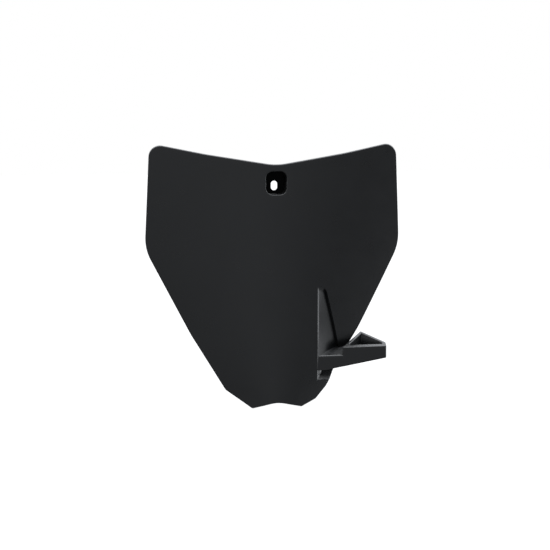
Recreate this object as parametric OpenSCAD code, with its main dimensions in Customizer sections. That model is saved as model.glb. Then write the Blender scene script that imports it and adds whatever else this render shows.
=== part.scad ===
// Front number board of an off-road motorbike, moulded in one piece.
// Front face towards -Y, +Z up, the origin at the screw slot on the rear seat. Millimetres.

/* [Sheet] */
// Thickness of the moulded sheet, front to back
sheet_t = 2.5; // [1.8:0.1:4]
// How fast the bend of the board opens with height: radius gained per millimetre of height
bend_rate = 2.2; // [1.6:0.1:4]
// How far below the screw slot the bend would close to a point
bend_drop = 248; // [235:1:320]

/* [Outline] */
// Half width at the widest place
wing_w = 125; // [105:0.5:140]
// Height of the widest place below the screw slot
wing_drop = 59.4; // [50:0.5:75]
// Radius of the widest corner
wing_r = 45; // [20:1:60]
// Half width at the top corners
top_w = 119.6; // [100:0.5:135]
// Height of the top corners above the screw slot
top_h = 41.6; // [34:0.2:55]
// Radius of the top corners
top_r = 11; // [6:0.5:16]
// Height of the notch in the top edge above the screw slot
notch_h = 19.8; // [17:0.2:26]
// Radius of the notch
notch_r = 60; // [20:1:80]
// How far the top edges sag below a straight line
top_sag = 1.2; // [0:0.1:3]
// Half width at the bend of the lower edges
knee_w = 82.6; // [74:0.5:90]
// Drop of the bend of the lower edges below the screw slot
knee_drop = 142.7; // [134:0.5:148]
// Half width where the feet begin
heel_w = 49.8; // [46:0.2:56]
// Drop of the place where the feet begin
heel_drop = 197.6; // [195:0.2:202]
// Half distance between the tips of the two feet
toe_w = 24.4; // [18:0.2:30]
// Drop of the tips of the feet
toe_drop = 215.9; // [212:0.2:222]
// Drop of the arch between the feet
arch_drop = 210; // [205:0.2:212]
// Radius of the arch
arch_r = 30; // [10:1:40]
// Width that the right foot gains outside the straight line to its tip
foot_bulge = 3.4; // [0:0.2:6]

/* [Screw pocket] */
// Width of the pocket that hides the screw
pocket_w = 20; // [16:0.5:26]
// Height of the pocket
pocket_h = 22; // [18:0.5:28]
// Corner radius of the pocket
pocket_r = 6.5; // [4:0.5:7.5]
// Depth from the front of the board to the pocket's floor
pocket_depth = 14.5; // [8:0.5:20]
// How far the middle of the pocket lies above the screw slot
pocket_rise = 2.9; // [0:0.1:4]
// Thickness of the pocket's floor and walls
pocket_t = 2.5; // [1.6:0.1:4]
// Width of the screw slot
slot_w = 6.4; // [5:0.1:8.5]
// Height of the screw slot
slot_h = 9.2; // [8.6:0.1:12]

/* [Recess] */
// Place of the recess's edge, right of the middle
crest_x = 41; // [34:0.5:46]
// Drop of the recess's upper end below the screw slot
recess_top = 97.5; // [85:0.5:105]
// Drop of the recess's lower end
recess_bottom = 191; // [188:0.5:194]
// Height of the ramp at the recess's lower end
ramp_h = 11; // [6:0.5:14]
// Depth that the floor gains per millimetre of drop at its upper end
floor_fall = 0.03; // [0.02:0.01:0.06]
// Depth that it gains more per millimetre of drop behind the arm
cove_fall = 0.13; // [0.08:0.01:0.18]
// Drop of the place where the floor begins to curve backwards
cove_drop = 125; // [115:1:140]
// Depth of the small step along the recess's edge
crest_step = 0.8; // [0.5:0.1:1.5]
// Step from the hollow wall up to the floor
ledge = 3.2; // [1:0.1:4]
// Depth per millimetre of width of the flat facet below the arm
facet_steep = 1.25; // [0.8:0.05:1.5]
// Width of the hollow wall at its blunt upper end
wall_nose_w = 7.2; // [5:0.2:10]
// Width that the hollow wall gains per millimetre of drop
wall_flare = 0.25; // [0.1:0.01:0.3]

/* [Arm and hose loop] */
// Drop of the arm's upper edge below the screw slot
arm_drop = 167.2; // [160:0.2:169]
// Height of the arm's front wall at the recess's edge
arm_h = 14; // [8:0.2:16]
// Distance of the arm's front wall behind the front of the board
arm_back = 5; // [3.5:0.1:7]
// Height of the hose loop above the arm
loop_rise = 8; // [5:0.5:14]
// Distance from the recess's edge to the hose loop
loop_gap = 25.2; // [20:0.2:32]
// Width of the hose loop
loop_w = 44; // [32:0.5:52]
// Depth of the hose loop, front to back
loop_depth = 19.5; // [14:0.5:22]
// Depth of the loop's left end
loop_left = 1.3; // [0.5:0.1:4]
// Depth of the loop's right end
loop_right = 5; // [2:0.1:7]
// Thickness of the loop's front wall
loop_front_t = 3.1; // [2.8:0.1:5]
// Thickness of the loop's two slanted walls
loop_side_t = 2.3; // [1.8:0.1:3.2]
// Thickness of the arm's two walls
arm_t = 2.5; // [1.8:0.1:4]
// Backward rise of the arm's web and the loop's rims
tilt = 33; // [24:1:40]
// Rise of the lower edge along the arm and the loop
taper = 8; // [0:0.5:12]

/* [Hidden] */
$fn = 96;
lap = 0.3;
past = 5;
plastic = [0.16, 0.165, 0.17];
front_y = -(pocket_depth + pocket_t);
bend_angle = atan(bend_rate);
cone_low = 4;
cone_high = 150;
heel_r = 6;
knee_r = 120;
toe_r = 2;
bulge_r = 3;
nose_l = 6;
crest_step_w = 1.1;
cove_l = 20;
wall_hollow = 0.3;
arm_y = front_y + arm_back;
loop_x = crest_x + loop_gap;
loop_top = loop_rise - arm_drop;
sag_w = 0.57 * top_w;
sag_h = notch_h + (top_h - notch_h) * sag_w / top_w - top_sag;
sag_r = 200;
foot_half = [(heel_w + toe_w) / 2, -(heel_drop + toe_drop) / 2];
foot_line = [heel_w - toe_w, toe_drop - heel_drop];
foot_mid = foot_half + foot_bulge * [foot_line.y, -foot_line.x] / norm(foot_line);
deepest = 30;
wall_least = 1.5;
ledge_onset = 5;
step_onset = 3;
facet_start = 3;
facet_onset = 7;
taper_start = 7.5;
web_share = 0.6;
web_steps = 24;
loop_corner_r = 0.8;
loop_left_r = 0.3;
loop_inner_r = 1;
wall_shares = [-1, 0, 0.25, 0.5, 0.75, 1];
floor_shares = [0, 0.5, 1];
shelf_shares = [0, 0.06, 0.14, 0.25, 0.4, 0.62, 0.85];
cove_shares = [0, 0.1, 0.2, 0.3, 0.4, 0.6, 0.8];
ramp_shares = [0, 0.2, 0.4, 0.6, 0.8, 1];
ramp_top = recess_bottom - ramp_h;
recess_depth = floor_fall * (ramp_top - recess_top) + cove_fall * (ramp_top - cove_drop - cove_l / 2);
row_heights = concat(
    [past / 2 - recess_top],
    [for (s = shelf_shares) -recess_top - s * (cove_drop - recess_top)],
    [for (s = cove_shares) -cove_drop - s * (ramp_top - cove_drop)],
    [for (s = ramp_shares) -ramp_top - s * ramp_h],
    [-recess_bottom - past / 2]
);

// Arc in place of the corner b of the path a, b, c, with radius r
function arc(a, b, c, r) =
    let (
        u = (a - b) / norm(a - b),
        v = (c - b) / norm(c - b),
        half = acos(u * v) / 2,
        mid = b + (u + v) / norm(u + v) * r / sin(half),
        turn = 180 - 2 * half,
        side = sign(u.x * v.y - u.y * v.x),
        from = b + u * r / tan(half) - mid,
        steps = max(2, ceil(turn / 7))
    )
    [for (i = [0 : steps])
        let (t = side * -turn * i / steps)
        mid + [from.x * cos(t) - from.y * sin(t), from.x * sin(t) + from.y * cos(t)]];

// Closed path through corners [x, y, radius], each with its corner rounded
function rounded(c) =
    [for (i = [0 : len(c) - 1])
        let (
            n = len(c),
            a = c[(i + n - 1) % n],
            b = c[i],
            d = c[(i + 1) % n]
        )
        each arc([a.x, a.y], [b.x, b.y], [d.x, d.y], b.z)];

// Distance of the front face behind the plane that it touches along its middle
function bend(x, z) =
    let (
        k = bend_rate,
        h = k * (bend_drop + z),
        q = k ^ 2 - 1
    )
    (sqrt(h ^ 2 + q * x ^ 2) - h) / q;

function front(x, z) = front_y + bend(x, z);

// Half width of the board at a height beside the recess
function half_width(z) =
    lookup(z, [[-heel_drop, heel_w], [-knee_drop, knee_w], [-wing_drop, wing_w]]);

function clamp(v) = max(0, min(1, v));

// Distance of a height below the recess's upper end
function drop(z) = max(0, -z - recess_top);

// Depth of the recess at a height: a slow fall, a cove behind the arm, then the ramp
function ramp(z) = recess_depth * max(0, (recess_bottom + z) / ramp_h);
function cove(z) =
    let (d = max(0, -z - cove_drop))
    cove_fall * (d < cove_l ? d ^ 2 / cove_l / 2 : d - cove_l / 2);
function floor_depth(z) = min(ramp(z), floor_fall * drop(z) + cove(z));

// From 0 above the arm to 1 below it, where the hollow wall is a flat facet
function below_arm(z) = clamp((-z - arm_drop - facet_start) / facet_onset);
function wall_w(z) =
    let (
        blunt = 1 - min(drop(z), nose_l) / nose_l,
        hollow_w = max(wall_least, (wall_nose_w + wall_flare * drop(z)) * sqrt(1 - blunt ^ 2)),
        facet_w = recess_depth / facet_steep
    )
    hollow_w + (facet_w - hollow_w) * below_arm(z);

// Place and depth across the wall, for t from 0 at its small step to 1 at its end
function wall_x(t, z) = crest_x + crest_step_w + (wall_w(z) - crest_step_w) * t;
function wall_depth(t, z) =
    let (
        step = crest_step * clamp(drop(z) / step_onset),
        end = floor_depth(z) + ledge * clamp(drop(z) / ledge_onset),
        above = step + max(0, end - step) * t * (1 + wall_hollow * (1 - t)),
        facet = facet_steep * (wall_x(t, z) - crest_x)
    )
    max(lap, min(ramp(z), above + (facet - above) * below_arm(z)));

// Front surface of the recess at any place right of its edge
function hollow(x, z) =
    let (t = (x - crest_x - crest_step_w) / (wall_w(z) - crest_step_w))
    front(x, z) + (t > 1 ? max(lap, floor_depth(z)) : wall_depth(max(0, t), z));

// Points across the recess at one height: its edge, the hollow wall, then the floor
function thickness(z) = z > -recess_top || z < -recess_bottom ? sheet_t - 2 * lap : sheet_t;
function wall_place(t, z) =
    let (x = wall_x(t, z))
    [x, front(x, z) + wall_depth(t, z)];
function wall_point(t, z) =
    let (
        x = t < 0 ? crest_x : wall_x(t, z),
        y = front(x, z) + (t < 0 ? lap : wall_depth(t, z)),
        a = t < 0 ? 0 : max(0, t - 0.1),
        b = t < 0 ? 0 : min(1, t + 0.1),
        from = t <= 0 ? [crest_x, front(crest_x, z)] : wall_place(a, z),
        to = wall_place(b, z),
        along = (to - from) / norm(to - from),
        n = [-along.y, along.x] * thickness(z)
    )
    [[x - lap / 6, y, z], [x + n.x - lap / 6, y + n.y, z]];
function floor_point(share, z) =
    let (
        start = crest_x + wall_w(z) + ledge / 3,
        x = start + (half_width(z) + past - start) * share,
        y = front(x, z) + max(lap, floor_depth(z))
    )
    [[x, y, z], [x, y + thickness(z), z]];
function across_row(z) = concat(
    [for (t = wall_shares) wall_point(t, z)],
    [for (s = floor_shares) floor_point(s, z)]
);

// Plain sheet between two equal cones, one behind the other, cut to the outline
module cone_solid(back) {
    translate([0, front_y + back, -bend_drop])
        rotate([-bend_angle, 0, 0])
        translate([0, 0, cone_low])
        cylinder(h = cone_high - cone_low, r1 = cone_low * bend_rate, r2 = cone_high * bend_rate);
}

module outline() {
    polygon(rounded([
        [0, notch_h, notch_r],
        [sag_w, sag_h, sag_r],
        [top_w, top_h, top_r],
        [wing_w, -wing_drop, wing_r],
        [knee_w, -knee_drop, knee_r],
        [heel_w, -heel_drop, heel_r],
        [foot_mid.x, foot_mid.y, bulge_r],
        [toe_w, -toe_drop, toe_r],
        [0, -arch_drop, arch_r],
        [-toe_w, -toe_drop, toe_r],
        [-heel_w, -heel_drop, heel_r],
        [-knee_w, -knee_drop, knee_r],
        [-wing_w, -wing_drop, wing_r],
        [-top_w, top_h, top_r],
        [-sag_w, sag_h, sag_r]
    ]));
}

// Turns a shape drawn in x and z into a block from the front plane to the back
module along_y(from, to) {
    translate([0, to, 0])
        rotate([90, 0, 0])
        linear_extrude(to - from)
        children();
}

module sheet() {
    difference() {
        intersection() {
            cone_solid(0);
            along_y(front_y - past, deepest) outline();
        }
        cone_solid(sheet_t);
        along_y(front_y - past, deepest)
            translate([crest_x, -recess_bottom])
            square([wing_w, recess_bottom - recess_top]);
    }
}

// The sheet where it is set back, right of the recess's edge
module recess() {
    rows = [for (z = row_heights) across_row(z)];
    nr = len(rows);
    nc = len(rows[0]);
    points = concat(
        [for (r = rows) each [for (p = r) p[0]]],
        [for (r = rows) each [for (p = r) p[1]]]
    );
    back = nr * nc;
    faces = concat(
        [for (i = [0 : nr - 2], j = [0 : nc - 2])
            let (a = i * nc + j, b = a + 1, c = a + nc, d = c + 1)
            each [[a, b, d], [a, d, c], [a + back, d + back, b + back], [a + back, c + back, d + back]]],
        [for (i = [0 : nr - 2])
            let (a = i * nc, c = a + nc, e = a + nc - 1, g = e + nc)
            each [[a, c, c + back], [a, c + back, a + back], [e, g + back, g], [e, e + back, g + back]]],
        [for (j = [0 : nc - 2])
            let (a = j, b = j + 1, e = (nr - 1) * nc + j, g = e + 1)
            each [[a, b + back, b], [a, a + back, b + back], [e, g, g + back], [e, g + back, e + back]]]
    );
    intersection() {
        polyhedron(points, faces);
        along_y(front_y - past, deepest) outline();
    }
}

module rounded_box(w, h, r) {
    polygon(rounded([[w / 2, h / 2, r], [w / 2, -h / 2, r], [-w / 2, -h / 2, r], [-w / 2, h / 2, r]]));
}

module pocket_boss() {
    intersection() {
        cone_solid(0);
        along_y(front_y - past, 0)
            translate([0, pocket_rise])
            rounded_box(pocket_w + 2 * pocket_t, pocket_h + 2 * pocket_t, pocket_r + pocket_t);
    }
}

module pocket_space() {
    along_y(front_y - past, -pocket_t)
        translate([0, pocket_rise])
        rounded_box(pocket_w, pocket_h, pocket_r);
}

module slot_space() {
    for (side = [-1, 1])
        translate([0, past, side * (slot_h - slot_w) / 2])
        rotate([90, 0, 0])
        cylinder(h = pocket_t + 2 * past, d = slot_w);
    translate([-slot_w / 2, -pocket_t - past, -(slot_h - slot_w) / 2])
        cube([slot_w, pocket_t + 2 * past, slot_h - slot_w]);
}

// Block between two planes that rise backwards by the tilt, from one height to another
module leaning(low, high, from_x, to_x) {
    reach = loop_depth + past;
    translate([from_x, arm_y, 0])
        rotate([90, 0, 90])
        linear_extrude(to_x - from_x)
        polygon([[0, low], [reach, low + reach * tan(tilt)], [reach, high + reach * tan(tilt)], [0, high]]);
}

// Everything below the rising lower edge of the arm and the loop
module below_taper() {
    translate([crest_x + taper_start, arm_y, -arm_drop - arm_h])
        rotate([tilt, 0, 0])
        rotate([0, -taper, 0])
        translate([0, -loop_depth, -2 * loop_depth])
        cube([2 * loop_w + loop_gap, 4 * loop_depth, 2 * loop_depth]);
}

module arm_web() {
    leg = [
        loop_x + web_share * loop_w / 2,
        arm_y + loop_left + web_share * (loop_depth - loop_left)
    ];
    rear = [for (i = [0 : web_steps])
        let (
            x = leg.x + (crest_x - leg.x) * i / web_steps,
            rise = (hollow(x, -arm_drop) - arm_y) * tan(tilt)
        )
        [x, hollow(x, rise - arm_drop) + sheet_t / 2]];
    intersection() {
        leaning(-arm_drop - arm_t / cos(tilt), -arm_drop, crest_x - arm_t, loop_x + loop_w);
        translate([0, 0, -arm_drop - loop_depth])
            linear_extrude(2 * loop_depth)
            polygon(concat([[crest_x - lap, arm_y], [loop_x + lap, arm_y], leg], rear));
    }
}

module arm_front() {
    difference() {
        translate([crest_x - arm_t / 2, arm_y, -arm_drop - arm_h])
            cube([loop_gap + 2 * arm_t, arm_t, arm_h]);
        below_taper();
    }
}

// Line through two points, moved to its right, and the place where two such lines meet
function moved(a, b, t) =
    let (u = (b - a) / norm(b - a))
    [a + t * [u.y, -u.x], u];
function meeting(l, m) =
    let (gap = m[0] - l[0])
    l[0] + l[1] * (gap.x * m[1].y - gap.y * m[1].x) / (l[1].x * m[1].y - l[1].y * m[1].x);

module hose_loop() {
    half = loop_w / 2;
    left = [-half, loop_left];
    tip = [0, loop_depth];
    right = [half, loop_right];
    left_wall = moved(left, tip, loop_side_t);
    right_wall = moved(tip, right, loop_side_t);
    front_wall = moved([half, 0], [-half, 0], loop_front_t);
    hole = [
        meeting(front_wall, left_wall),
        meeting(left_wall, right_wall),
        meeting(right_wall, front_wall)
    ];
    low = -arm_drop - arm_h;
    high = 3 * loop_depth + loop_rise + arm_h;
    difference() {
        intersection() {
            leaning(low, loop_top, loop_x - lap, loop_x + loop_w + lap);
            translate([loop_x + half, arm_y, low])
                linear_extrude(high)
                polygon(rounded([
                    [-half, 0, loop_corner_r],
                    [left.x, left.y, loop_left_r],
                    [tip.x, tip.y, loop_corner_r],
                    [right.x, right.y, loop_corner_r],
                    [half, 0, loop_corner_r]
                ]));
        }
        translate([loop_x + half, arm_y, low - past])
            linear_extrude(high)
            polygon(rounded([for (c = hole) [c.x, c.y, loop_inner_r]]));
        below_taper();
    }
}

module number_board() {
    color(plastic)
    difference() {
        union() {
            sheet();
            recess();
            pocket_boss();
            arm_web();
            arm_front();
            hose_loop();
        }
        pocket_space();
        slot_space();
    }
}

number_board();
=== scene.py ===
"""Front number board of an off-road motorbike: one moulded piece of black plastic.

Lengths are in millimetres, as in the part's source, until a mesh is made.
"""

from math import atan2, ceil, cos, pi, radians, sin, sqrt, tan

import bpy
import numpy as np
from mathutils import Matrix, Vector
from mathutils.geometry import delaunay_2d_cdt, intersect_line_line_2d


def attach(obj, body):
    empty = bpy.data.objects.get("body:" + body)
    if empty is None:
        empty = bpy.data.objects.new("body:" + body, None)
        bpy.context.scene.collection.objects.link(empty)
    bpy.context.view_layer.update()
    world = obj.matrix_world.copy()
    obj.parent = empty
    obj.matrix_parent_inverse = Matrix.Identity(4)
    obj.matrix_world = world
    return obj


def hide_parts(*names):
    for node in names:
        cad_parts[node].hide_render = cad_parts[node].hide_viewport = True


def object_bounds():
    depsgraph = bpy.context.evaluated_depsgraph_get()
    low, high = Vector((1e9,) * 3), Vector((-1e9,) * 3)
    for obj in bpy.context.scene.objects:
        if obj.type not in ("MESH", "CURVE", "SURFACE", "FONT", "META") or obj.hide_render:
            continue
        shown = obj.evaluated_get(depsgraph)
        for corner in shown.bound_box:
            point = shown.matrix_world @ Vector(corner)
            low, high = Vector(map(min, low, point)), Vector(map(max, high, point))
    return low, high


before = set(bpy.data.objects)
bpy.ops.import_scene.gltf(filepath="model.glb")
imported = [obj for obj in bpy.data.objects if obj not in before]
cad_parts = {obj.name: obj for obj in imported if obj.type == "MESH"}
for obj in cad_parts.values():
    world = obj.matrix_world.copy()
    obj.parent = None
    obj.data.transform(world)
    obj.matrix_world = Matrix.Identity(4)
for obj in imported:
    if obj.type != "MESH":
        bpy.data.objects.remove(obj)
cad_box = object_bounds()

MM = 0.001

# Sheet, as in the part's source
SHEET_T = 2.5
BEND_RATE = 2.2
BEND_DROP = 248.0
FRONT_Y = -17.0

# Outline: corners of the right half as (half width, height, corner radius)
NOTCH = (0.0, 19.8, 60.0)
TOP = (119.6, 41.6, 11.0)
TOP_SAG = 1.2
SAG_SHARE = 0.57
SAG_R = 200.0
WING = (125.0, -59.4, 45.0)
KNEE = (82.6, -142.7, 120.0)
HEEL = (49.8, -197.6, 6.0)
TOE = (24.4, -215.9, 2.0)
ARCH = (0.0, -210.0, 30.0)
FOOT_BULGE = 3.4
BULGE_R = 3.0

# Screw pocket
POCKET_W = 20.0
POCKET_H = 22.0
POCKET_R = 6.5
POCKET_RISE = 2.9
POCKET_T = 2.5
SLOT_W = 6.4
SLOT_H = 9.2
HAIR = 0.01

# Recess
CREST_X = 40.5
RECESS_TOP = 97.5
RECESS_BOTTOM = 191.0
FLOOR_FALL = 0.03
COVE_FALL = 0.13
COVE_DROP = 125.0
COVE_L = 20.0
RAMP_H = 11.0
RECESS_DEPTH = 8.33
SILL = 0.4
CREST_STEP = 0.8
CREST_STEP_W = 1.1
CREST_STEP_L = 3.0
LEDGE = 3.2
LEDGE_L = 5.0
FACET_STEEP = 1.25
FACET_START = 3.0
FACET_L = 7.0
FLOOR_LEAST = 5.0
WALL_HOLLOW = 0.1
WALL_NOSE_W = 7.2
WALL_FLARE = 0.25
WALL_LEAST = 1.5
NOSE_L = 6.0
BACK_LEAD = 1.2

# Arm and hose loop
ARM_DROP = 167.2
ARM_H = 14.0
ARM_Y = -12.0
ARM_T = 2.5
LOOP_X = 66.2
LOOP_W = 44.0
LOOP_DEPTH = 19.5
LOOP_TOP = -159.2
LOOP_FRONT_T = 3.1
LOOP_SIDE_T = 2.3
LOOP_LEFT_FLAT = 1.3
LOOP_RIGHT_FLAT = 5.0
TILT = tan(radians(33))
TAPER = 0.1676
TAPER_X = 48.5
ARM_LAP = 1.0
ARM_INTO_LOOP = 1.4
ARM_BEHIND = 0.12
ARM_EDGE_CLEAR = 0.5
ARM_EDGE_FALL = 0.12
LOOP_LEFT_R = 1.0
LOOP_TIP_R = 1.2
LOOP_RIGHT_R = 1.4
LOOP_HOLE_R = 1.0

# Roundings that the moulding tool leaves
EDGE_R = 0.35
TOP_EDGE_R = 1.4
TOP_EDGE_FROM = 0.1
TOP_EDGE_SPAN = 0.6
BACK_EDGE_R = 0.4
CREST_R = 0.8
CREST_TURN = 48
MOUTH_R = 1.1
FLOOR_R = 0.9
SLOT_R = 0.3
SEAT_R = 0.5
SEAT_SHARE = 0.3
FLARE_R = 1.6
ARM_TOP_R = 2.6
RIM_R = 0.6
LOW_RIM_R = 0.25
SMOOTH_ANGLE = 34

# Small forms: places from their start, with a share of the depth or a drop below it
STEP_FORM = [(-0.15, 0.86, 0.0), (0.2, 1.0, 0.05)]
LEDGE_FORM = [(0.1, 0.97), (0.2, 0.82), (0.35, 0.35), (0.45, 0.08), (0.55, 0.0)]
WEB_FILLET = [(1.2, 0.02), (0.35, 0.25), (0.0, 1.0)]

# Fineness of the mesh
RING_STEP = 2.5
POCKET_STEP = 1.6
SLOT_STEP = 1.0
LOOP_STEP = 1.5
ROW_STEP = 1.6
SILL_STEP = 1.2
WALL_SHARES = [0.12, 0.25, 0.38, 0.5, 0.62, 0.75, 0.88, 1.0]
ARM_STEPS = 30
ARM_TOP_STEPS = 8
ARM_FRONT_ROWS = (-5.0, -3.0)
FIRST_REACH = 8.0
REACH_TRIES = 6
GRID_STEP = 3.5
GRID_ROW = 0.87
GRID_TOP = 60.0
GRID_H = 300.0
GRID_HALF = 60

# Distances that keep the points of one form clear of another's
LINE_CLEAR = 0.5
GRID_CLEAR = 1.5
COLUMN_CLEAR = 1.2
ROW_CLEAR = 0.3
END_CLEAR = 0.1

# The pocket's rough plastic, darkened there as painted shade: how far past its walls, from where
# down and up to where
ROUGH_AND_SHADE_GROW = 0.2
ROUGH_AND_SHADE_FROM = 2.0
ROUGH_AND_SHADE_TO = 0.1

# Brightness of the studio by direction. Walls and ground: degrees around from the front,
# towards the right. Sky: degrees from straight up, towards the front
WALL_LIGHT = [
    (-180, 0.6), (-120, 1.0), (-75, 1.5), (-45, 0.5), (-20, 0.5), (5, 0.6), (25, 0.3),
    (40, 0.25), (55, 0.5), (75, 2.6), (95, 5.5), (115, 4.0), (150, 1.2), (180, 0.6),
]
GROUND_LIGHT = [
    (-180, 0.1), (-90, 0.3), (-45, 0.38), (20, 0.38), (40, 0.3), (60, 0.5), (90, 0.9),
    (120, 0.5), (180, 0.1),
]
SKY_LIGHT = [(-90, 3.0), (-40, 5.0), (-15, 4.0), (5, 8.0), (20, 4.0), (45, 0.5), (90, 0.3)]
SKY_FROM = (0.57, 0.82)
GROUND_FROM = (-0.342, -0.174)
FLOOR_GREY = 0.1
FLOOR_WHITE = 0.88
FLOOR_HALF = 6000.0
FLOOR_GAP = 0.2

# Camera of the photograph: angles in degrees, focal length and picture in pixels
CAMERA_AZIMUTH = -9.452
CAMERA_ELEVATION = 6.990
CAMERA_ROLL = -0.310
CAMERA_AIM = (-2.045, -17.0, -85.1)
CAMERA_AWAY = 1152.0
SENSOR_W = 36
FOCAL_PX = 1200
PHOTO_PX = 550


# Forms of the board


def bend(x, z):
    """Distance of the bent front behind the plane that it touches along its middle."""
    h = BEND_RATE * (BEND_DROP + z)
    q = BEND_RATE**2 - 1
    return (sqrt(h * h + q * x * x) - h) / q


def half_width(z):
    heights = [HEEL[1], KNEE[1], WING[1]]
    return float(np.interp(z, heights, [HEEL[0], KNEE[0], WING[0]]))


def in_recess(z):
    return -RECESS_BOTTOM < z < -RECESS_TOP


def clamp(value):
    return min(1.0, max(0.0, value))


def ramp(z):
    """Greatest depth that the ramp at the recess's lower end leaves."""
    return SILL + (RECESS_BOTTOM + z) * (RECESS_DEPTH - SILL) / RAMP_H


def floor_depth(z):
    """Depth of the floor: a slow fall, then a cove behind the arm."""
    down = max(0.0, -z - COVE_DROP)
    cove = down * down / COVE_L / 2 if down < COVE_L else down - COVE_L / 2
    return FLOOR_FALL * max(0.0, -z - RECESS_TOP) + COVE_FALL * cove


def below_arm(z):
    """From 0 above the arm to 1 below it, where the wall is a flat facet."""
    return clamp((-z - ARM_DROP - FACET_START) / FACET_L)


def wall_w(z):
    """Width of the recess's wall: blunt at its upper end, then flared, then the facet's."""
    along = max(0.0, -z - RECESS_TOP)
    blunt = 1 - min(along, NOSE_L) / NOSE_L
    width = max(WALL_LEAST, (WALL_NOSE_W + WALL_FLARE * along) * sqrt(1 - blunt * blunt))
    return width + (RECESS_DEPTH / FACET_STEEP - width) * below_arm(z)


def crest_step(z):
    return CREST_STEP * clamp((-z - RECESS_TOP) / CREST_STEP_L)


def wall_end(z):
    """Depth at the wall's end, where a ledge drops to the floor."""
    return floor_depth(z) + LEDGE * clamp((-z - RECESS_TOP) / LEDGE_L) * (1 - below_arm(z))


def wall_place(t, z):
    """Point (x, depth) of the hollow wall, from 0 at the small step to 1 at its end."""
    x = CREST_X + CREST_STEP_W + (wall_w(z) - CREST_STEP_W) * t
    step = crest_step(z)
    above = step + max(0.0, wall_end(z) - step) * t * (1 + WALL_HOLLOW * (1 - t))
    facet = FACET_STEEP * (x - CREST_X)
    return x, min(above + (facet - above) * below_arm(z), ramp(z))


def recess_row(z):
    """Front of the recess at one height, as (x, depth) from the rounded crest to the edge."""
    step = crest_step(z)
    row = []
    for angle in range(0, CREST_TURN + 1, CREST_TURN // 3):
        t = radians(angle)
        x = CREST_X + CREST_R * (sin(t) - tan(radians(CREST_TURN / 2)))
        row.append((x, CREST_R * (1 - cos(t)) * step / CREST_STEP))
    for dx, part, drop in STEP_FORM:
        row.append((CREST_X + CREST_STEP_W + dx, part * step + drop))
    row += [wall_place(t, z) for t in WALL_SHARES]
    end, deep = row[-1]
    floor = min(floor_depth(z), ramp(z))
    for dx, part in LEDGE_FORM:
        row.append((end + dx, floor + (deep - floor) * part))
    row.append((max(half_width(z), end + FLOOR_LEAST), floor))
    return [(x, min(depth, ramp(z))) for x, depth in row]


def recess_back_row(z):
    """Back of the recess at one height, as (x, depth of the back behind the bent front)."""
    row = [(CREST_X - SHEET_T - BACK_LEAD, SHEET_T)]
    front = [(CREST_X, 0.0)] + [wall_place(t, z) for t in [0.0] + WALL_SHARES[1::2]]
    spots = [Vector((x, bend(x, z) + depth)) for x, depth in front]
    for i, spot in enumerate(spots):
        along = (spots[min(i + 1, len(spots) - 1)] - spots[max(i - 1, 0)]).normalized()
        back = spot + Vector((-along.y, along.x)) * SHEET_T
        x = max(back.x, row[-1][0] + 0.2)
        row.append((x, max(SHEET_T, back.y - bend(x, z))))
    end = front[-1][0]
    floor = min(floor_depth(z), ramp(z)) + SHEET_T
    row.append((end + 1.5, floor))
    row.append((max(half_width(z), end + FLOOR_LEAST), floor))
    return row


def along_row(row, x):
    xs, depths = zip(*row)
    return float(np.interp(x, xs, depths))


def face(x, z):
    """Front face of the board."""
    depth = along_row(recess_row(z), x) if in_recess(z) and x > CREST_X - CREST_R else 0.0
    return FRONT_Y + bend(x, z) + depth


def rear(x, z):
    """Rear face of the board."""
    depth = SHEET_T
    if in_recess(z) and x > CREST_X - SHEET_T - BACK_LEAD:
        depth = along_row(recess_back_row(z), x)
    return FRONT_Y + bend(x, z) + depth


# Paths and shells


def arc(a, b, c, radius):
    """Arc of that radius in place of the corner b of the path a, b, c."""
    u = (a - b).normalized()
    v = (c - b).normalized()
    half = u.angle(v) / 2
    middle = b + (u + v).normalized() * (radius / sin(half))
    start = b + u * (radius / tan(half)) - middle
    turn = pi - 2 * half
    side = 1 if u.x * v.y - u.y * v.x > 0 else -1
    steps = max(2, ceil(turn / radians(9)), ceil(turn * radius / RING_STEP))
    points = []
    for i in range(steps + 1):
        t = -side * turn * i / steps
        x = start.x * cos(t) - start.y * sin(t)
        y = start.x * sin(t) + start.y * cos(t)
        points.append(middle + Vector((x, y)))
    return points


def rounded(corners, step=RING_STEP):
    """Closed path through corners (u, v, radius), clockwise, with no side longer than the step."""
    count = len(corners)
    spots = [Vector(c[:2]) for c in corners]
    points = []
    for i in range(count):
        points += arc(spots[i - 1], spots[i], spots[(i + 1) % count], corners[i][2])
    path = []
    for p, q in zip(points, points[1:] + points[:1]):
        parts = max(1, ceil((q - p).length / step))
        path += [p.lerp(q, k / parts) for k in range(parts)]
    return path


def inset(path, depth):
    """Clockwise path moved inward by that depth, or by one depth for each point."""
    moved = []
    depths = depth if isinstance(depth, list) else [depth] * len(path)
    for i, (p, inward) in enumerate(zip(path, depths)):
        before = (p - path[i - 1]).normalized()
        after = (path[(i + 1) % len(path)] - p).normalized()
        along = (before + after).normalized()
        moved.append(p + Vector((along.y, -along.x)) * (inward / max(0.5, along.dot(before))))
    return moved


def depth_inside(points, path):
    """Distance of each point from the path, positive inside it."""
    p = np.array([tuple(q) for q in points])[:, None, :]
    a = np.array([tuple(q) for q in path])[None, :, :]
    b = np.roll(a, -1, axis=1)
    along = b - a
    t = ((p - a) * along).sum(2) / (along**2).sum(2)
    near = a + np.clip(t, 0, 1)[..., None] * along
    distance = np.linalg.norm(p - near, axis=2).min(1)
    crosses = (a[..., 1] > p[..., 1]) != (b[..., 1] > p[..., 1])
    rise = np.where(crosses, along[..., 1], 1.0)
    x_there = a[..., 0] + (p[..., 1] - a[..., 1]) / rise * along[..., 0]
    inside = (crosses & (p[..., 0] < x_there)).sum(1) % 2 == 1
    return np.where(inside, distance, -distance)


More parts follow.
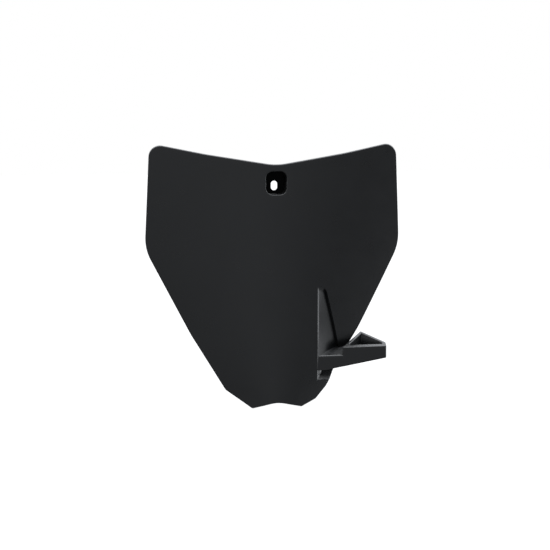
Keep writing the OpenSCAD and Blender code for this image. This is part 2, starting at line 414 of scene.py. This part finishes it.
class Shell:
    """A closed surface that grows ring by ring."""

    def __init__(self):
        self.points = []
        self.faces = []

    def ring(self, path, place, drops=None):
        """Points of a new ring, with one drop for each if drops are given, and their numbers."""
        start = len(self.points)
        if drops:
            self.points += [place(p.x, p.y, drop) for p, drop in zip(path, drops)]
        else:
            self.points += [place(p.x, p.y) for p in path]
        return path, list(range(start, len(self.points)))

    def loft(self, rings):
        """Faces between each ring and the next."""
        for (_, a), (_, b) in zip(rings, rings[1:]):
            for i in range(len(a)):
                j = (i + 1) % len(a)
                self.faces.append((a[i], a[j], b[j], b[i]))

    def cap(self, outer, hole, place, lines=(), free=()):
        """Triangles between two rings, along the lines and through the free points."""
        coords, ids, edges = [], [], []
        for path, ring_ids in (outer, hole):
            start = len(coords)
            coords += path
            ids += ring_ids
            edges += [(start + i, start + (i + 1) % len(path)) for i in range(len(path))]
        for line in lines:
            start = len(coords)
            coords += line
            ids += [None] * len(line)
            edges += [(start + i, start + i + 1) for i in range(len(line) - 1)]
        coords += free
        ids += [None] * len(free)
        spots, _, faces, origins, _, _ = delaunay_2d_cdt(coords, edges, [], 1, 1e-6)
        found = []
        for spot, origin in zip(spots, origins):
            known = [ids[o] for o in origin if ids[o] is not None]
            if known:
                found.append(known[0])
            else:
                found.append(len(self.points))
                self.points.append(place(spot.x, spot.y))
        middles = [sum((spots[i] for i in f), Vector((0, 0))) / len(f) for f in faces]
        kept = depth_inside(middles, hole[0]) < 0
        self.faces += [tuple(found[i] for i in f) for f, keep in zip(faces, kept) if keep]

    def object(self, name):
        """Mesh object of the closed surface, its faces turned outward."""
        mesh = bpy.data.meshes.new(name)
        mesh.from_pydata([tuple(c * MM for c in p) for p in self.points], [], self.faces)
        mesh.validate()
        obj = bpy.data.objects.new(name, mesh)
        bpy.context.scene.collection.objects.link(obj)
        bpy.context.view_layer.objects.active = obj
        obj.select_set(True)
        bpy.ops.object.mode_set(mode="EDIT")
        bpy.ops.mesh.select_all(action="SELECT")
        bpy.ops.mesh.normals_make_consistent(inside=False)
        bpy.ops.object.mode_set(mode="OBJECT")
        obj.select_set(False)
        return obj


def quarter(radius, steps=4):
    """Points of a quarter round as (distance from the corner inward, drop), from face to side."""
    turns = [radians(90 * i / steps) for i in range(steps + 1)]
    return [(radius * (1 - sin(t)), radius * (1 - cos(t))) for t in turns]


# The board


def outline():
    """Edge of the board, seen from the front."""
    heel, toe = Vector(HEEL[:2]), Vector(TOE[:2])
    outward = Vector((heel.y - toe.y, toe.x - heel.x)).normalized()
    foot = (heel + toe) / 2 + outward * FOOT_BULGE
    rise = NOTCH[1] + (TOP[1] - NOTCH[1]) * SAG_SHARE - TOP_SAG
    sag = (TOP[0] * SAG_SHARE, rise, SAG_R)
    right = [NOTCH, sag, TOP, WING, KNEE, HEEL, (foot.x, foot.y, BULGE_R), TOE, ARCH]
    left = [(-x, z, r) for x, z, r in (TOE, HEEL, KNEE, WING, TOP, sag)]
    return rounded(right + left)


def edge_radii(path):
    """Radius of the front edge at each point: large along the top, small elsewhere."""
    radii = []
    for i in range(len(path)):
        along = (path[(i + 1) % len(path)] - path[i - 1]).normalized()
        share = clamp((along.x - TOP_EDGE_FROM) / TOP_EDGE_SPAN)
        radii.append(EDGE_R + (TOP_EDGE_R - EDGE_R) * share)
    return radii


def recess_lines(row_of, clear_path):
    """Columns of the recess as lines from its upper to its lower end, and its sill."""
    length = RECESS_BOTTOM - RECESS_TOP - 2 * ROW_CLEAR
    count = ceil(length / ROW_STEP)
    heights = [-RECESS_TOP - ROW_CLEAR - length * i / count for i in range(count + 1)]
    rows = [[Vector((x, z)) for x, _ in row_of(z)[:-1]] for z in heights]
    sill = []
    x = rows[-1][0].x
    while x < half_width(-RECESS_BOTTOM):
        sill.append(Vector((x, -RECESS_BOTTOM)))
        x += SILL_STEP
    lines = []
    for points in [*zip(*rows), sill]:
        clear = depth_inside(points, clear_path) > LINE_CLEAR
        lines.append([p for p, ok in zip(points, clear) if ok])
    return [line for line in lines if line]


def grid(clear_path, hole, row_of):
    """Free points inside the board, clear of its rings and of the recess's columns."""
    points = []
    for j in range(int(GRID_H / GRID_STEP)):
        z = GRID_TOP - j * GRID_STEP * GRID_ROW
        for i in range(-GRID_HALF, GRID_HALF + 1):
            points.append(Vector(((i + 0.5 * (j % 2)) * GRID_STEP, z)))
    inside = depth_inside(points, clear_path) > GRID_CLEAR
    inside &= depth_inside(points, hole) < -GRID_CLEAR
    kept = []
    for p, ok in zip(points, inside):
        if not ok:
            continue
        if -RECESS_BOTTOM - GRID_CLEAR < p.y < -RECESS_TOP + GRID_CLEAR:
            row = row_of(min(max(p.y, END_CLEAR - RECESS_BOTTOM), -RECESS_TOP - END_CLEAR))
            if row[0][0] - COLUMN_CLEAR < p.x < row[-2][0] + COLUMN_CLEAR:
                continue
        kept.append(p)
    return kept


def rim_rings(shell):
    """Rings around the board's edge, from its front face to its rear face."""
    edge = outline()
    radii = edge_radii(edge)
    rings = []
    for depth, drop in quarter(1.0):
        path = inset(edge, [r * depth for r in radii])
        drops = [r * drop for r in radii]
        rings.append(shell.ring(path, lambda x, z, d: (x, face(x, z) + d, z), drops))
    for depth, drop in reversed(quarter(BACK_EDGE_R, 3)):
        path = inset(edge, depth)
        rings.append(shell.ring(path, lambda x, z, d=drop: (x, rear(x, z) - d, z)))
    shell.loft(rings)
    return rings


def pocket_rings(shell):
    """Rings from the pocket's rounded mouth down to its floor."""
    mouth = pocket_path(0)
    rings = []
    for depth, drop in quarter(MOUTH_R):
        path = inset(mouth, -depth)
        rings.append(shell.ring(path, lambda x, z, d=drop: (x, face(x, z) + d, z)))
    for rise, depth in reversed(quarter(FLOOR_R)):
        path = inset(mouth, depth)
        rings.append(shell.ring(path, lambda x, z, r=rise: (x, -POCKET_T - r, z)))
    shell.loft(rings)
    return rings


def slot_rings(shell):
    """Rings through the slot in the pocket's floor, broken at both its edges."""
    path = rounded(box_corners(SLOT_W, SLOT_H, SLOT_W / 2 - HAIR, 0), SLOT_STEP)
    rings = []
    for out, y in ((SLOT_R, -POCKET_T), (0, SLOT_R - POCKET_T), (0, -SLOT_R), (SLOT_R, 0)):
        rings.append(shell.ring(inset(path, -out), lambda x, z, y=y: (x, y, z)))
    shell.loft(rings)
    return rings


def boss_rings(shell):
    """Rings from the flat seat behind the pocket to the rear face around it."""
    boss = pocket_path(POCKET_T)
    rings = []
    for depth, drop in ((1, 0), (SEAT_SHARE, SEAT_SHARE), (0, 1)):
        path = inset(boss, SEAT_R * depth)
        rings.append(shell.ring(path, lambda x, z, d=drop: (x, -SEAT_R * d, z)))
    for rise, depth in reversed(quarter(FLARE_R)):
        path = inset(boss, -depth)
        rings.append(shell.ring(path, lambda x, z, r=rise: (x, rear(x, z) + r, z)))
    shell.loft(rings)
    return rings


def board_shell():
    """The bent sheet with its recess and its screw pocket."""
    shell = Shell()
    rim, pocket, slot = rim_rings(shell), pocket_rings(shell), slot_rings(shell)
    shell.cap(pocket[-1], slot[0], lambda x, z: (x, -POCKET_T, z))
    boss = boss_rings(shell)
    shell.cap(boss[0], slot[-1], lambda x, z: (x, 0.0, z))
    for ring, hole, row_of, surface in (
        (rim[0], pocket[0], recess_row, face),
        (rim[-1], boss[-1], recess_back_row, rear),
    ):
        lines = recess_lines(row_of, ring[0])
        free = grid(ring[0], hole[0], row_of)
        shell.cap(ring, hole, lambda x, z, s=surface: (x, s(x, z), z), lines, free)
    return shell


def box_corners(w, h, r, rise):
    """Corners of an upright box, its middle raised by the rise."""
    u, v = w / 2, h / 2
    return [(u, rise + v, r), (u, rise - v, r), (-u, rise - v, r), (-u, rise + v, r)]


def pocket_path(grow):
    """Path around the pocket's inside, grown by that much."""
    w, h = POCKET_W + 2 * grow, POCKET_H + 2 * grow
    return rounded(box_corners(w, h, POCKET_R + grow, POCKET_RISE), POCKET_STEP)


# The arm and the hose loop


def arm_x(u, share):
    """Place along the arm, from 0 inside the recess's wall to 1 inside the loop's left leg."""
    lean = LOOP_W / 2 / (LOOP_DEPTH - LOOP_LEFT_FLAT)
    start = CREST_X - ARM_LAP
    last = LOOP_X + ARM_INTO_LOOP + lean * max(0.0, u - LOOP_LEFT_FLAT)
    return start + share * (last - start)


def arm_low(u, share):
    """Height of the arm's lower edge, that distance behind its front."""
    return -ARM_H + TAPER * max(0.0, arm_x(u, share) - TAPER_X) + u * TILT


def arm_reach(share):
    """How far behind the arm's front its web ends, inside the sheet or past the sheet's edge."""
    edge = half_width(-ARM_DROP)
    reach = FIRST_REACH
    for _ in range(REACH_TRIES):
        x = max(CREST_X, arm_x(reach, share))
        y = face(min(x, edge - ARM_EDGE_CLEAR), -ARM_DROP + reach * TILT)
        past_edge = max(0.0, x - edge)
        reach = max(ARM_TOP_R / 2, y + SHEET_T / 2 - ARM_Y - past_edge * ARM_EDGE_FALL)
    return reach


def arm_profile(share):
    """Section of the arm, as (distance behind its front, height): front wall and sloping web."""
    reach = arm_reach(share)
    web_t = ARM_T * sqrt(1 + TILT * TILT)
    back = min(ARM_T, reach)
    turn = pi / 2 - atan2(TILT, 1)
    centre = ARM_TOP_R * (TILT - sqrt(1 + TILT * TILT))
    points = [(0, arm_low(0, share) + LOW_RIM_R)] + [(0, v) for v in ARM_FRONT_ROWS]
    for step in range(ARM_TOP_STEPS + 1):
        t = turn * step / ARM_TOP_STEPS
        points.append((ARM_TOP_R * (1 - cos(t)), centre + ARM_TOP_R * sin(t)))
    points += [(reach, reach * TILT), (reach, reach * TILT - web_t)]
    for du, drop in WEB_FILLET:
        u = min(ARM_T + du, reach)
        points.append((u, u * TILT - web_t - drop))
    points.append((back, arm_low(back, share) + LOW_RIM_R))
    points.append((back - LOW_RIM_R, arm_low(back - LOW_RIM_R, share)))
    points.append((LOW_RIM_R, arm_low(LOW_RIM_R, share)))
    return [Vector(p) for p in points]


def arm_shell():
    """Front wall and web of the arm."""
    shell = Shell()
    rings = []
    for step in range(ARM_STEPS + 1):
        share = step / ARM_STEPS
        rings.append(
            shell.ring(
                arm_profile(share),
                lambda u, v, s=share: (arm_x(u, s), ARM_Y + ARM_BEHIND + u, v - ARM_DROP),
            )
        )
    shell.loft(rings)
    shell.faces.append(tuple(rings[0][1]))
    shell.faces.append(tuple(rings[-1][1]))
    return shell


def moved_line(a, b, t):
    """The line a to b, moved to its right by t."""
    side = (b - a).normalized()
    shift = Vector((side.y, -side.x)) * t
    return a + shift, b + shift


def crossing(first, second):
    """Place where two endless lines meet."""
    (a, b), (c, d) = first, second
    far = 100
    return intersect_line_line_2d(
        a - (b - a) * far, a + (b - a) * far, c - (d - c) * far, c + (d - c) * far
    )


def loop_top(x, u):
    """Height of the loop's upper rim, that distance behind its front."""
    return LOOP_TOP + u * TILT


def loop_bottom(x, u):
    """Height of the loop's lower rim, cut along the taper of the arm."""
    return -ARM_DROP - ARM_H + TAPER * (x - TAPER_X) + u * TILT


def loop_paths():
    """Outer and inner path of the triangular loop, seen from above."""
    half = LOOP_W / 2
    middle = LOOP_X + half
    left = Vector((middle - half, LOOP_LEFT_FLAT))
    right = Vector((middle + half, LOOP_RIGHT_FLAT))
    tip = Vector((middle, LOOP_DEPTH))
    corners = [
        (left.x, 0.0, LOOP_LEFT_R),
        (left.x, left.y, LOOP_LEFT_R),
        (tip.x, tip.y, LOOP_TIP_R),
        (right.x, right.y, LOOP_TIP_R),
        (right.x, 0.0, LOOP_RIGHT_R),
    ]
    left_wall = moved_line(left, tip, LOOP_SIDE_T)
    right_wall = moved_line(tip, right, LOOP_SIDE_T)
    front_wall = moved_line(Vector((right.x, 0.0)), Vector((left.x, 0.0)), LOOP_FRONT_T)
    walls = (front_wall, left_wall, right_wall, front_wall)
    hole = [crossing(a, b) for a, b in zip(walls, walls[1:])]
    inner = rounded([(c.x, c.y, LOOP_HOLE_R) for c in hole], LOOP_STEP)
    return rounded(corners, LOOP_STEP), inner


def loop_shell():
    """The triangular loop with its rounded rims."""
    shell = Shell()
    sides = []
    for path, sign in zip(loop_paths(), (1, -1)):
        rings = []
        for depth, drop in quarter(RIM_R, 3):
            rings.append(
                shell.ring(
                    inset(path, sign * depth),
                    lambda x, u, d=drop: (x, ARM_Y + u, loop_top(x, u) - d),
                )
            )
        for depth, drop in reversed(quarter(LOW_RIM_R, 3)):
            rings.append(
                shell.ring(
                    inset(path, sign * depth),
                    lambda x, u, d=drop: (x, ARM_Y + u, loop_bottom(x, u) + d),
                )
            )
        shell.loft(rings)
        sides.append(rings)
    outer, inner = sides
    for index, surface in ((0, loop_top), (-1, loop_bottom)):
        shell.cap(outer[index], inner[index], lambda x, u, s=surface: (x, ARM_Y + u, s(x, u)))
    return shell


# One object


def united(base, others, name):
    """One mesh object from the closed shells."""
    for other in others:
        join = base.modifiers.new("join", "BOOLEAN")
        join.operation = "UNION"
        join.solver = "EXACT"
        join.object = other
    graph = bpy.context.evaluated_depsgraph_get()
    mesh = bpy.data.meshes.new_from_object(base.evaluated_get(graph))
    for obj in [base] + others:
        bpy.data.objects.remove(obj)
    mesh.name = name
    mesh.materials.clear()
    obj = bpy.data.objects.new(name, mesh)
    bpy.context.scene.collection.objects.link(obj)
    return obj


def smooth(obj):
    """Smooth shading that follows the large faces and stays sharp at sharp edges."""
    mesh = obj.data
    mesh.shade_smooth()
    mesh.set_sharp_from_angle(angle=radians(SMOOTH_ANGLE))
    weigh = obj.modifiers.new("normals", "WEIGHTED_NORMAL")
    weigh.mode = "FACE_AREA_WITH_ANGLE"
    weigh.keep_sharp = True


def inside_pocket(obj):
    """Gives the pocket's walls and floor the second material, rougher and darker there as painted
    shade.
    """
    path = pocket_path(ROUGH_AND_SHADE_GROW)
    middles = [polygon.center / MM for polygon in obj.data.polygons]
    inside = depth_inside([Vector((m.x, m.z)) for m in middles], path) > 0
    for polygon, middle, found in zip(obj.data.polygons, middles, inside):
        if found and FRONT_Y + ROUGH_AND_SHADE_FROM < middle.y < ROUGH_AND_SHADE_TO - POCKET_T:
            polygon.material_index = 1


# Materials


class Nodes:
    """Short way to place and link the nodes of one material or world."""

    def __init__(self, owner):
        owner.use_nodes = True
        self.tree = owner.node_tree
        self.tree.nodes.clear()

    def add(self, kind, inputs=None, **settings):
        node = self.tree.nodes.new(kind)
        for key, value in settings.items():
            setattr(node, key, value)
        for key, value in (inputs or {}).items():
            if isinstance(value, bpy.types.NodeSocket):
                self.tree.links.new(value, node.inputs[key])
            else:
                node.inputs[key].default_value = value
        return node

    def ramp(self, source, stops):
        """Colours by the source's value, with stops (place, grey or colour)."""
        node = self.add("ShaderNodeValToRGB", {"Fac": source})
        elements = node.color_ramp.elements
        while len(elements) < len(stops):
            elements.new(0.5)
        for element, (place, value) in zip(elements, stops):
            element.position = place
            element.color = (*value, 1) if isinstance(value, tuple) else (value, value, value, 1)
        return node.outputs["Color"]

    def noise(self, where, scale, detail, roughness=0.5):
        inputs = {"Vector": where, "Scale": scale, "Detail": detail, "Roughness": roughness}
        return self.add("ShaderNodeTexNoise", inputs).outputs["Fac"]


def black_plastic():
    """Satin black polypropylene: faint flow mottling, a fine tool grain and uneven gloss."""
    material = bpy.data.materials.new("black_plastic")
    n = Nodes(material)
    where = n.add("ShaderNodeTexCoord").outputs["Object"]
    flow = n.noise(where, 22, 3, 0.45)
    colour = n.ramp(flow, [(0.3, (0.0036, 0.0040, 0.0045)), (0.7, (0.0048, 0.0052, 0.0058))])
    haze = n.noise(where, 60, 4, 0.55)
    gloss = n.ramp(haze, [(0.3, 0.27), (0.7, 0.32)])
    grain = n.noise(where, 1500, 2, 0.6)
    bump = n.add(
        "ShaderNodeBump", {"Height": grain, "Strength": 0.12, "Distance": 0.0001}
    ).outputs["Normal"]
    shader = n.add(
        "ShaderNodeBsdfPrincipled",
        {"Base Color": colour, "Roughness": gloss, "Normal": bump, "IOR": 1.49},
    )
    n.add("ShaderNodeOutputMaterial", {"Surface": shader.outputs[0]})
    return material


def pocket_plastic_painted_shade():
    """The plastic inside the screw pocket: rough from the mould, and darker with a weaker
    reflection as painted shade.
    """
    material = bpy.data.materials.new("pocket_plastic_painted_shade")
    n = Nodes(material)
    where = n.add("ShaderNodeTexCoord").outputs["Object"]
    grain = n.noise(where, 1100, 3, 0.6)
    bump = n.add(
        "ShaderNodeBump", {"Height": grain, "Strength": 0.25, "Distance": 0.0001}
    ).outputs["Normal"]
    flow = n.noise(where, 40, 2)
    # Darker than the board's own plastic: painted shade for the deep pocket.
    colour = n.ramp(flow, [(0.3, (0.002, 0.002, 0.0022)), (0.7, (0.003, 0.003, 0.0033))])
    # The specular level of 0.1 is painted shade as well, because it weakens the pocket's
    # reflection. The roughness and the bump are the mould's.
    shader = n.add(
        "ShaderNodeBsdfPrincipled",
        {"Base Color": colour, "Roughness": 0.75, "Normal": bump, "Specular IOR Level": 0.1},
    )
    n.add("ShaderNodeOutputMaterial", {"Surface": shader.outputs[0]})
    return material


def floor_paint():
    """Pale floor: white to the camera, with the object's soft shadow left in."""
    material = bpy.data.materials.new("floor_paint")
    n = Nodes(material)
    path = n.add("ShaderNodeLightPath")
    white = n.add(
        "ShaderNodeMath", {0: path.outputs["Is Camera Ray"], 1: FLOOR_WHITE}, operation="MULTIPLY"
    )
    paint = n.add("ShaderNodeBsdfDiffuse", {"Color": (FLOOR_GREY, FLOOR_GREY, FLOOR_GREY, 1)})
    glow = n.add("ShaderNodeEmission", {"Color": (1, 1, 1, 1), "Strength": white.outputs[0]})
    both = n.add("ShaderNodeAddShader", {0: paint.outputs[0], 1: glow.outputs[0]})
    n.add("ShaderNodeOutputMaterial", {"Surface": both.outputs[0]})
    return material


# Camera and light


def aim_camera():
    """Camera of the photograph, from the pocket, the feet, the wings and the loop in it."""
    azimuth, elevation = radians(CAMERA_AZIMUTH), radians(CAMERA_ELEVATION)
    roll = radians(CAMERA_ROLL)
    right = Vector((cos(azimuth), sin(azimuth), 0))
    up = Vector((-sin(azimuth) * sin(elevation), cos(azimuth) * sin(elevation), cos(elevation)))
    ahead = Vector(
        (-sin(azimuth) * cos(elevation), cos(azimuth) * cos(elevation), -sin(elevation))
    )
    turned_right = right * cos(roll) + up * sin(roll)
    turned_up = up * cos(roll) - right * sin(roll)
    data = bpy.data.cameras.new("camera")
    data.sensor_width = SENSOR_W
    data.lens = SENSOR_W * FOCAL_PX / PHOTO_PX
    data.clip_end = 50
    camera = bpy.data.objects.new("camera", data)
    bpy.context.scene.collection.objects.link(camera)
    place = Vector(CAMERA_AIM) * MM - ahead * (CAMERA_AWAY * MM)
    rotation = np.column_stack([turned_right, turned_up, -ahead])
    matrix = [[*rotation[i], place[i]] for i in range(3)] + [[0, 0, 0, 1]]
    camera.matrix_world = Matrix(matrix)
    bpy.context.scene.camera = camera


def around_stops(values):
    """Stops of a ramp over -180 to 180 degrees, in the faintly blue white of the studio."""
    return [((angle + 180) / 360, (0.96 * v, 0.99 * v, 1.03 * v)) for angle, v in values]


def blend(n, low, high, share):
    """Mix of two colours. A mix node's colours go in at 6 and 7 and come out at 2."""
    mix = n.add("ShaderNodeMix", {"Factor": share}, data_type="RGBA")
    for index, side in ((6, low), (7, high)):
        n.tree.links.new(side, mix.inputs[index])
    return mix.outputs[2]


def set_light():
    """Soft studio: light walls at the height of the board, a lamp sky above, a lit ground."""
    world = bpy.data.worlds.new("studio")
    bpy.context.scene.world = world
    n = Nodes(world)
    path = n.add("ShaderNodeLightPath")
    way = n.add("ShaderNodeSeparateXYZ", {0: n.add("ShaderNodeTexCoord").outputs["Generated"]})
    right, back, up = (way.outputs[axis] for axis in "XYZ")
    ahead = n.add("ShaderNodeMath", {0: back, 1: -1.0}, operation="MULTIPLY").outputs[0]
    turn = n.add("ShaderNodeMath", {0: right, 1: ahead}, operation="ARCTAN2").outputs[0]
    lean = n.add("ShaderNodeMath", {0: ahead, 1: up}, operation="ARCTAN2").outputs[0]
    turn = n.add("ShaderNodeMapRange", {0: turn, 1: -pi, 2: pi}).outputs[0]
    lean = n.add("ShaderNodeMapRange", {0: lean, 1: -pi, 2: pi}).outputs[0]
    walls = n.ramp(turn, around_stops(WALL_LIGHT))
    ground = n.ramp(turn, around_stops(GROUND_LIGHT))
    sky = n.ramp(lean, around_stops(SKY_LIGHT))
    above = n.add("ShaderNodeMapRange", {0: up, 1: SKY_FROM[0], 2: SKY_FROM[1]}).outputs[0]
    below = n.add("ShaderNodeMapRange", {0: up, 1: GROUND_FROM[0], 2: GROUND_FROM[1]}).outputs[0]
    colour = blend(n, ground, blend(n, walls, sky, above), below)
    soft = n.add("ShaderNodeBackground", {"Color": colour, "Strength": 1.0})
    white = n.add("ShaderNodeBackground", {"Color": (1, 1, 1, 1), "Strength": 1.0})
    mix = n.add("ShaderNodeMixShader", {0: path.outputs["Is Camera Ray"]})
    n.tree.links.new(soft.outputs[0], mix.inputs[1])
    n.tree.links.new(white.outputs[0], mix.inputs[2])
    n.add("ShaderNodeOutputWorld", {"Surface": mix.outputs[0]})
    bpy.context.scene.view_settings.view_transform = "Standard"


def lay_floor():
    """Floor just under the lowest point of the part."""
    size = FLOOR_HALF * MM
    z = cad_box[0][2] - FLOOR_GAP * MM
    mesh = bpy.data.meshes.new("floor")
    corners = [(-size, -size, z), (size, -size, z), (size, size, z), (-size, size, z)]
    mesh.from_pydata(corners, [], [(0, 1, 2, 3)])
    floor = bpy.data.objects.new("floor", mesh)
    bpy.context.scene.collection.objects.link(floor)
    mesh.materials.append(floor_paint())
    floor.visible_glossy = False
    floor.visible_diffuse = False
    floor.visible_shadow = False


aim_camera()
board = united(
    board_shell().object("sheet"),
    [arm_shell().object("arm"), loop_shell().object("loop")],
    "moulded_board",
)
smooth(board)
board.data.materials.append(black_plastic())
# Second material: rough plastic darkened as painted shade inside the pocket.
board.data.materials.append(pocket_plastic_painted_shade())
inside_pocket(board)
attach(board, "root")
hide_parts("number_board")
lay_floor()
set_light()
